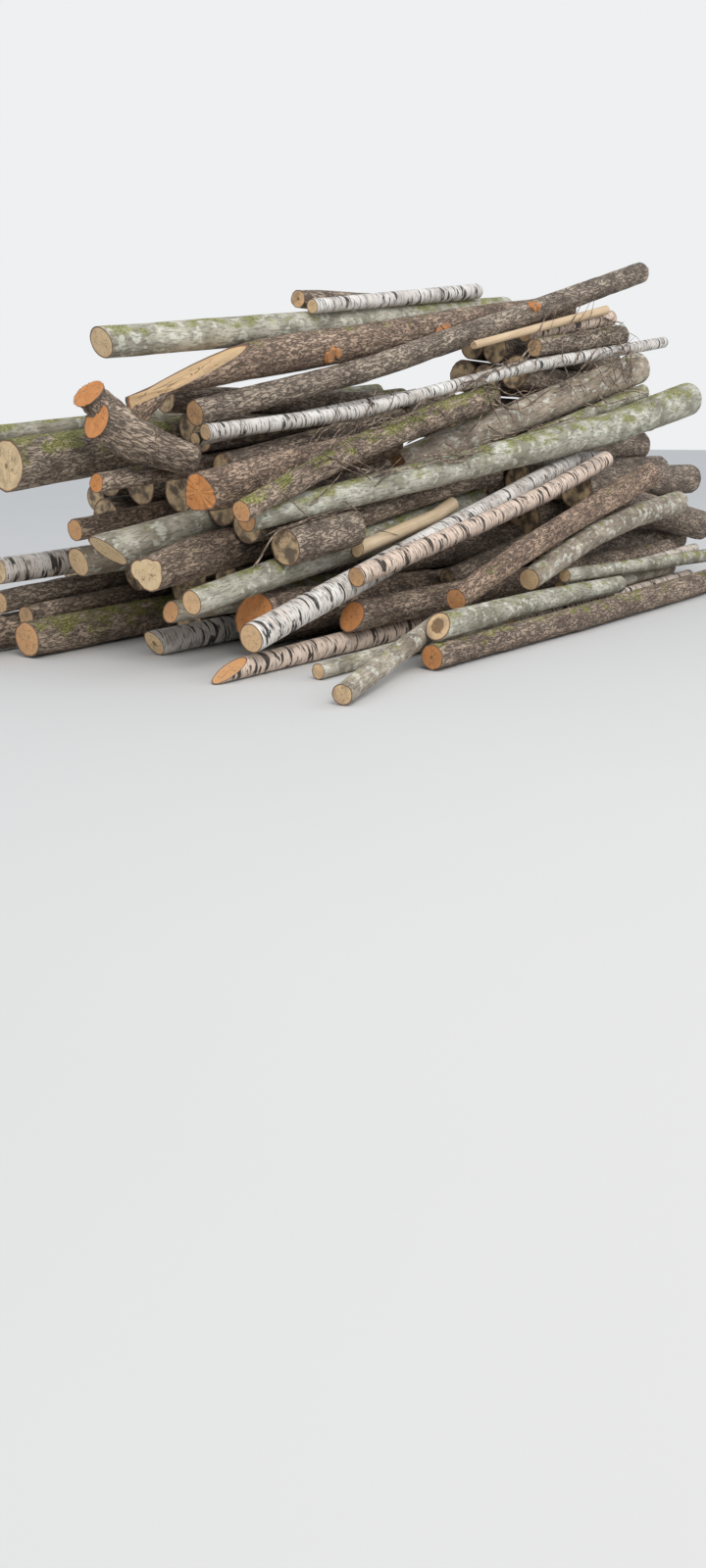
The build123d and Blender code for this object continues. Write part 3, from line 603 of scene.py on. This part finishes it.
MOSSY = dict(DARK, slot="mossy_bark", relief=0.006)
dress("mossy_log_large", **MOSSY, look=(0.3, 0.9, 0.2), end_look=(0.15, 0.35, 0.4), seed=61)
dress("mossy_crooked_log", **MOSSY, look=(0.6, 0.95, 0.2), end_look=(0.6, 0.1, 0.2), seed=62)
dress("mossy_ground_log_left", **MOSSY, look=(0.5, 0.95, 0.3), end_look=(0.55, 0.2, 0.3), seed=63)
dress("mossy_ground_log_long", **MOSSY, look=(0.6, 0.6, 0.5), end_look=(0.8, 0.4, 0.4), seed=64)
dress("grey_mossy_log_far", **MOSSY, look=(0.3, 0.6, 0.3), end_look=(0.4, 0.4, 0.6), seed=65)


# Peeled and split wood
# The thick split stem on top, a barkless pole and a short beige log.

def peeled_wood_group():
    tree, given, result = group("Peeled wood", BARK_IN, BARK_OUT)
    co = given["Co"]
    grain = stretched(tree, co, (3.0, 120.0, 120.0), 1.0, 3.0)
    cloud = stretched(tree, co, (4.0, 9.0, 9.0), 3.0, 4.0)
    pale = mix(tree, cloud, (0.60, 0.45, 0.28), (0.76, 0.64, 0.46))
    warm = mix(tree, cloud, (0.52, 0.27, 0.11), (0.72, 0.47, 0.26))
    colour = mix(tree, given["Tone"], pale, warm)
    streak = calc(tree, "MULTIPLY", between(tree, grain, 0.45, 0.7), 0.35)
    colour = mix(tree, streak, colour, (0.30, 0.19, 0.10))
    colour, algae = algae_and_moss(tree, colour, co, given["Moss"], given["Dirt"], given["Up"])
    tree.links.new(colour, result["Color"])
    tree.links.new(calc(tree, "MULTIPLY_ADD", grain, 0.2, 0.6), result["Roughness"])
    tree.links.new(calc(tree, "ADD", grain, algae), result["Height"])
    return tree


peeled_wood = bark_material("peeled wood", peeled_wood_group(), 0.4, 0.003)
dress("peeled_pole", peeled_wood, sawn_end, "peeled_wood", look=(0.3, 0.1, 0.2), relief=0.001, seed=71)
dress("beige_log_small", peeled_wood, sawn_end, "peeled_wood", look=(0.1, 0.1, 0.2),
      end_look=(0.15, 0.0, 0.1), relief=0.001, seed=72)
dress("split_log_long", **dict(DARK, slot="peeled_wood", pace=0.03, segments=80), look=(0.85, 0.35, 0.1),
      end_look=(0.3, 0.0, 0.2), seed=73)


FRONT = np.array([-8.3, -5.7, 1.5])
SCAR_DEPTH = 0.022


def knots(node, places, seed):
    """Raw orange scars where branches were torn off, on the side of a log that faces the front."""
    solid = islands(node)[0]
    tree = BVHTree.FromBMesh(solid)
    low, along = middle_line(solid, tree)[:2]
    mesh = bmesh.new()
    for number, (place, wide) in enumerate(places):
        target = low + along * place
        view = target - FRONT
        spot, normal = tree.ray_cast(Vector(target - view * 0.1), Vector(view))[:2]
        turn = normal.to_track_quat("Z", "Y").to_matrix().to_4x4()
        turn.translation = spot + normal * 0.001
        made = bmesh.ops.create_cone(mesh, cap_ends=True, segments=40, radius1=wide, radius2=0.72 * wide,
                                     depth=SCAR_DEPTH, matrix=turn)
        for vert in made["verts"]:
            out = vert.co - spot
            angle = np.array([[out.dot(Vector(along)) * 25.0, out.z * 25.0, float(number)]])
            vert.co = spot + out * (0.45 + 1.1 * float(rough_noise(angle, seed)[0]))
    bmesh.ops.triangulate(mesh, faces=mesh.faces)
    bmesh.ops.recalc_face_normals(mesh, faces=mesh.faces)
    data = bpy.data.meshes.new(node + "_knots")
    mesh.to_mesh(data)
    mesh.free()
    solid.free()
    co = np.array([v.co[:] for v in data.vertices])
    for name, values in (("log_co", co * 2.0), ("end_look", np.tile((1.0, 0.5, 0.9), (len(co), 1)))):
        layer = data.attributes.new(name, "FLOAT_VECTOR", "POINT")
        layer.data.foreach_set("vector", np.ascontiguousarray(values, dtype=np.float32).reshape(-1))
    layer = data.attributes.new("rho", "FLOAT", "POINT")
    layer.data.foreach_set("value", np.full(len(co), 0.6, dtype=np.float32))
    data.materials.append(sawn_end)
    piece = bpy.data.objects.new(node + "_knots", data)
    bpy.context.scene.collection.objects.link(piece)
    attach(piece, "root")


knots("split_log_long", ((1.75, 0.06), (1.83, 0.04), (3.15, 0.05), (3.27, 0.07), (3.8, 0.04)), seed=5)
knots("dark_fissured_log_long", ((3.95, 0.05), (4.02, 0.04)), seed=6)


# Forked alder butt
# A short butt from where two alder stems part, sawn across both prongs: dark loose bark, and wood that
# has turned vivid orange in the air.

LEAST_END = 0.02  # square metres: a flat of the bark is far smaller than a sawn end


def sawn_faces(solid):
    """Middle, facing, radius and face of each sawn end."""
    bmesh.ops.dissolve_limit(solid, angle_limit=0.02, verts=solid.verts, edges=solid.edges)
    large = [face for face in solid.faces if face.calc_area() > LEAST_END]
    return [(face.calc_center_median(), face.normal.copy(), math.sqrt(face.calc_area() / math.pi), face)
            for face in large]


fork = islands("alder_fork_butt")[0]
square_ends = [facing for _, facing, _, _ in sawn_faces(fork)]
# the upper prong is sawn askew, so that its end shows from the front
ASKEW = Vector((-1.0, 0.0, 1.0)).normalized()
upper_end = max(sawn_faces(fork), key=lambda end: end[0].z)[3]
behind = min((vert.co for vert in upper_end.verts), key=ASKEW.dot)
cut = bmesh.ops.bisect_plane(fork, geom=fork.verts[:] + fork.edges[:] + fork.faces[:], plane_co=behind,
                             plane_no=ASKEW, clear_outer=True)["geom_cut"]
bmesh.ops.holes_fill(fork, edges=[edge for edge in cut if isinstance(edge, bmesh.types.BMEdge)])
bmesh.ops.recalc_face_normals(fork, faces=fork.faces)
caps = []
cap_of = {}
ends = sawn_faces(fork)
fork.faces.index_update()
for number, (hub, facing, size, face) in enumerate(ends):
    stem = max(square_ends, key=facing.dot)
    caps.append((np.array(hub), np.array(stem), size * math.sqrt(facing.dot(stem))))
    cap_of[face.index] = number
fork_tree = BVHTree.FromBMesh(fork)
fork_data = bpy.data.meshes.new("fork")
fork.to_mesh(fork_data)
fork_blank = bpy.data.objects.new("fork", fork_data)
bpy.context.scene.collection.objects.link(fork_blank)
fine = fork_blank.modifiers.new("fine", "REMESH")
fine.mode = "VOXEL"
fine.voxel_size = 0.011
ready = fork_blank.evaluated_get(bpy.context.evaluated_depsgraph_get())
fork_skin = bpy.data.meshes.new_from_object(ready)
fork_skin.name = "alder_fork_butt_bark"
bpy.data.objects.remove(fork_blank)
co = np.array([v.co[:] for v in fork_skin.vertices])
out = np.array([v.normal[:] for v in fork_skin.vertices])
fork_along = np.array([0.93, -0.2, -0.3])
fork_side = np.cross([0.0, 0.0, 1.0], fork_along)
fork_side = fork_side / np.linalg.norm(fork_side)
fork_up = np.cross(fork_along, fork_side)
straight = np.stack([co @ fork_along, co @ fork_side, co @ fork_up], axis=-1)
rho = np.zeros(len(co))
on_cap = np.full(len(co), -1)
for i, point in enumerate(co):
    on_cap[i] = cap_of.get(fork_tree.find_nearest(Vector(point))[2], -1)
    if on_cap[i] >= 0:
        hub, stem, size = caps[on_cap[i]]
        away = point - hub
        rho[i] = min(np.linalg.norm(away - stem * (away @ stem)) / size, 1.0)
        straight[i] = (float(on_cap[i]), away @ fork_side, away @ fork_up)
ridges = 1.0 - np.abs(2.0 * rough_noise(co @ np.diag([9.0, 26.0, 26.0]) + 4.0, 90, 3) - 1.0)
lumps = rough_noise(co * 7.0, 91, 2)
sink = np.where(on_cap < 0, 0.012 * np.clip(1.6 * ridges - 0.5, 0.0, 1.0) + 0.02 * lumps, 0.005 * lumps)
fork_skin.vertices.foreach_set("co", (co - out * sink[:, None]).reshape(-1))
for name, values in (("log_co", straight), ("look", np.tile((0.5, 0.25, 0.3), (len(co), 1))),
                     ("end_look", np.tile((0.95, 0.12, 0.05), (len(co), 1)))):
    layer = fork_skin.attributes.new(name, "FLOAT_VECTOR", "POINT")
    layer.data.foreach_set("vector", np.ascontiguousarray(values, dtype=np.float32).reshape(-1))
for name, values in (("rho", rho), ("up", out[:, 2])):
    layer = fork_skin.attributes.new(name, "FLOAT", "POINT")
    layer.data.foreach_set("value", np.ascontiguousarray(values, dtype=np.float32))
fork_skin.materials.clear()
fork_skin.materials.append(fissured_bark)
fork_skin.materials.append(sawn_end)
for face in fork_skin.polygons:
    face.use_smooth = True
    face.material_index = int(all(on_cap[v] >= 0 for v in face.vertices))
fork.free()
fork_piece = bpy.data.objects.new("alder_fork_butt_bark", fork_skin)
bpy.context.scene.collection.objects.link(fork_piece)
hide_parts("alder_fork_butt")
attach(fork_piece, "root")


# Twigs caught on the heap
# Thin dead twigs that came in with the logs lie draped over the front and the top of the heap.

heap = bmesh.new()
for node in sorted(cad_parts):
    heap.from_mesh(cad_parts[node].data)
heap_tree = BVHTree.FromBMesh(heap)
heap.free()
TWIG_COUNT = 170
TWIG_STEP = 0.045
LAYER_DROP = 0.3  # a twig ends where the heap falls back by more than this
FAR_OFF = 4.0
chance = np.random.default_rng(11)
twigs = bmesh.new()
toward = np.array([0.60, 0.50, -0.62])
toward = toward / np.linalg.norm(toward)
for number in range(TWIG_COUNT):
    place = np.array([chance.uniform(-2.8, 2.4), -0.5, 0.0])
    place[2] = chance.uniform(0.5, 1.5) + 0.2 * (place[0] + 2.8)
    swing = chance.normal(0.0, 0.5)
    length = chance.uniform(0.35, 1.3)
    path = []
    for step in np.arange(0.0, length, TWIG_STEP):
        swing += chance.normal(0.0, 0.09)
        heading = np.array([math.cos(swing), 0.0, math.sin(swing)])
        place = place + heading * TWIG_STEP
        start = place - toward * FAR_OFF
        spot, _, _, gone = heap_tree.ray_cast(Vector(start), Vector(toward), FAR_OFF + 3.0)
        if spot is None or path and abs(gone - path[-1][1]) > LAYER_DROP:
            break
        path.append((start, gone))
    if len(path) < 6:
        continue
    depth = np.array([gone for _, gone in path])
    depth = np.array([depth[max(i - 3, 0):i + 4].min() for i in range(len(depth))])
    depth = np.convolve(np.pad(depth, 2, mode="edge"), np.ones(5) / 5.0, mode="valid")
    line = np.array([start for start, _ in path]) + toward * (depth[:, None] - 0.006)
    ahead = np.gradient(line, axis=0)
    ahead = ahead / np.linalg.norm(ahead, axis=1)[:, None]
    side = np.cross(ahead, toward)
    side = side / np.linalg.norm(side, axis=1)[:, None]
    rise = np.cross(side, ahead)
    size = np.linspace(chance.uniform(0.004, 0.010), 0.0015, len(line))
    size[0] = size[-1] = 0.0002
    turns = np.linspace(0.0, 2.0 * math.pi, 7)
    turns[-1] = 0.0
    around = np.cos(turns)[:, None, None] * side + np.sin(turns)[:, None, None] * rise
    points = line + around * size[:, None]
    spread = np.stack([np.broadcast_to(np.arange(len(line)) * TWIG_STEP, points.shape[:2]),
                       np.cos(turns)[:, None] * size, np.sin(turns)[:, None] * size], axis=-1)
    add_log(twigs, points, spread, np.zeros(points.shape[:2]), np.zeros(len(line) - 1, dtype=int),
            (0.6, 0.1, 0.3), (0.3, 0.0, 0.3), offset=3.0 * number)
bmesh.ops.remove_doubles(twigs, verts=twigs.verts, dist=1e-6)
bmesh.ops.recalc_face_normals(twigs, faces=twigs.faces)
for face in twigs.faces:
    face.smooth = True
twig_data = bpy.data.meshes.new("caught_twigs")
twigs.to_mesh(twig_data)
twigs.free()
twig_up = twig_data.attributes.new("up", "FLOAT", "POINT")
twig_up.data.foreach_set("value", [v.normal.z for v in twig_data.vertices])
twig_data.materials.append(fissured_bark)
twig_piece = bpy.data.objects.new("caught_twigs", twig_data)
bpy.context.scene.collection.objects.link(twig_piece)
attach(twig_piece, "root")


# Logs inside and behind the heap
# They can only be seen in the gaps and from the back: plain dark-barked logs, their bark and sawn ends
# darkened further as painted shade for the gaps.

for number, node in enumerate(sorted(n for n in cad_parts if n.startswith("hidden_"))):
    # full dirt and an end age of 1.8 are painted shade: they darken the bark and ends past their own colour
    dress(node, fissured_bark, sawn_end, "grey_bark", look=(0.4, 0.2, 1.0), end_look=(0.2, 0.0, 1.8),
          segments=32, pace=0.12, relief=0.005, seed=80 + 3 * number)


# Floor, lamps and camera
# A plain pale floor under soft studio light, seen from where the photographer stood.

def flat_material(name, colour, rough):
    material = bpy.data.materials.new(name)
    material.use_nodes = True
    tree = material.node_tree
    shader = tree.nodes["Principled BSDF"]
    shader.inputs["Roughness"].default_value = rough
    place = put(tree, "ShaderNodeNewGeometry").outputs["Position"]
    cloud = put(tree, "ShaderNodeTexNoise", in_Vector=place, in_Scale=0.7, in_Detail=4.0).outputs[0]
    shade = mix(tree, cloud, [c * 0.97 for c in colour], colour)
    tree.links.new(shade, shader.inputs["Base Color"])
    return material


floor_mesh = bmesh.new()
bmesh.ops.create_circle(floor_mesh, cap_ends=True, segments=96, radius=60.0)
floor_data = bpy.data.meshes.new("floor")
floor_mesh.to_mesh(floor_data)
floor_mesh.free()
floor_data.materials.append(flat_material("pale floor", (0.62, 0.61, 0.59), 0.9))
floor = bpy.data.objects.new("floor", floor_data)
bpy.context.scene.collection.objects.link(floor)

world = bpy.data.worlds.new("sky")
bpy.context.scene.world = world
world.use_nodes = True
sky = world.node_tree
glow = sky.nodes["Background"]
ray = put(sky, "ShaderNodeLightPath").outputs["Is Camera Ray"]
sky.links.new(mix(sky, ray, (0.80, 0.84, 0.90), (0.86, 0.87, 0.88)), glow.inputs["Color"])
glow.inputs["Strength"].default_value = 1.0


def lamp(name, place, aim, size, power, colour):
    light = bpy.data.lights.new(name, "AREA")
    light.shape = "DISK"
    light.size = size
    light.energy = power
    light.color = colour
    thing = bpy.data.objects.new(name, light)
    thing.location = place
    thing.rotation_euler = (Vector(aim) - Vector(place)).to_track_quat("-Z", "Y").to_euler()
    bpy.context.scene.collection.objects.link(thing)


lamp("soft key", (-7.0, -8.0, 10.0), (0.0, 0.0, 1.0), 7.0, 700.0, (1.0, 0.97, 0.93))
lamp("soft fill", (6.0, -8.0, 7.0), (0.5, 0.0, 1.0), 8.0, 220.0, (0.95, 0.97, 1.0))

# Seen from 1.5 m above the ground, looking slightly down and 38 degrees off the logs.
FOCAL_PIXELS = 1202.0
PICTURE_HEIGHT = 1600.0
SENSOR = 36.0
CAMERA_PLACE = (-8.2893, -5.6867, 1.5)
PITCH = math.radians(17.11)
HEADING = math.radians(38.0)
camera_data = bpy.data.cameras.new("camera")
camera_data.sensor_width = SENSOR
camera_data.sensor_fit = "AUTO"
camera_data.lens = FOCAL_PIXELS / PICTURE_HEIGHT * SENSOR
camera = bpy.data.objects.new("camera", camera_data)
camera.location = CAMERA_PLACE
camera.rotation_euler = (math.radians(90.0) - PITCH, 0.0, HEADING - math.radians(90.0))
bpy.context.scene.collection.objects.link(camera)
bpy.context.scene.camera = camera
bpy.context.scene.view_settings.view_transform = "Standard"
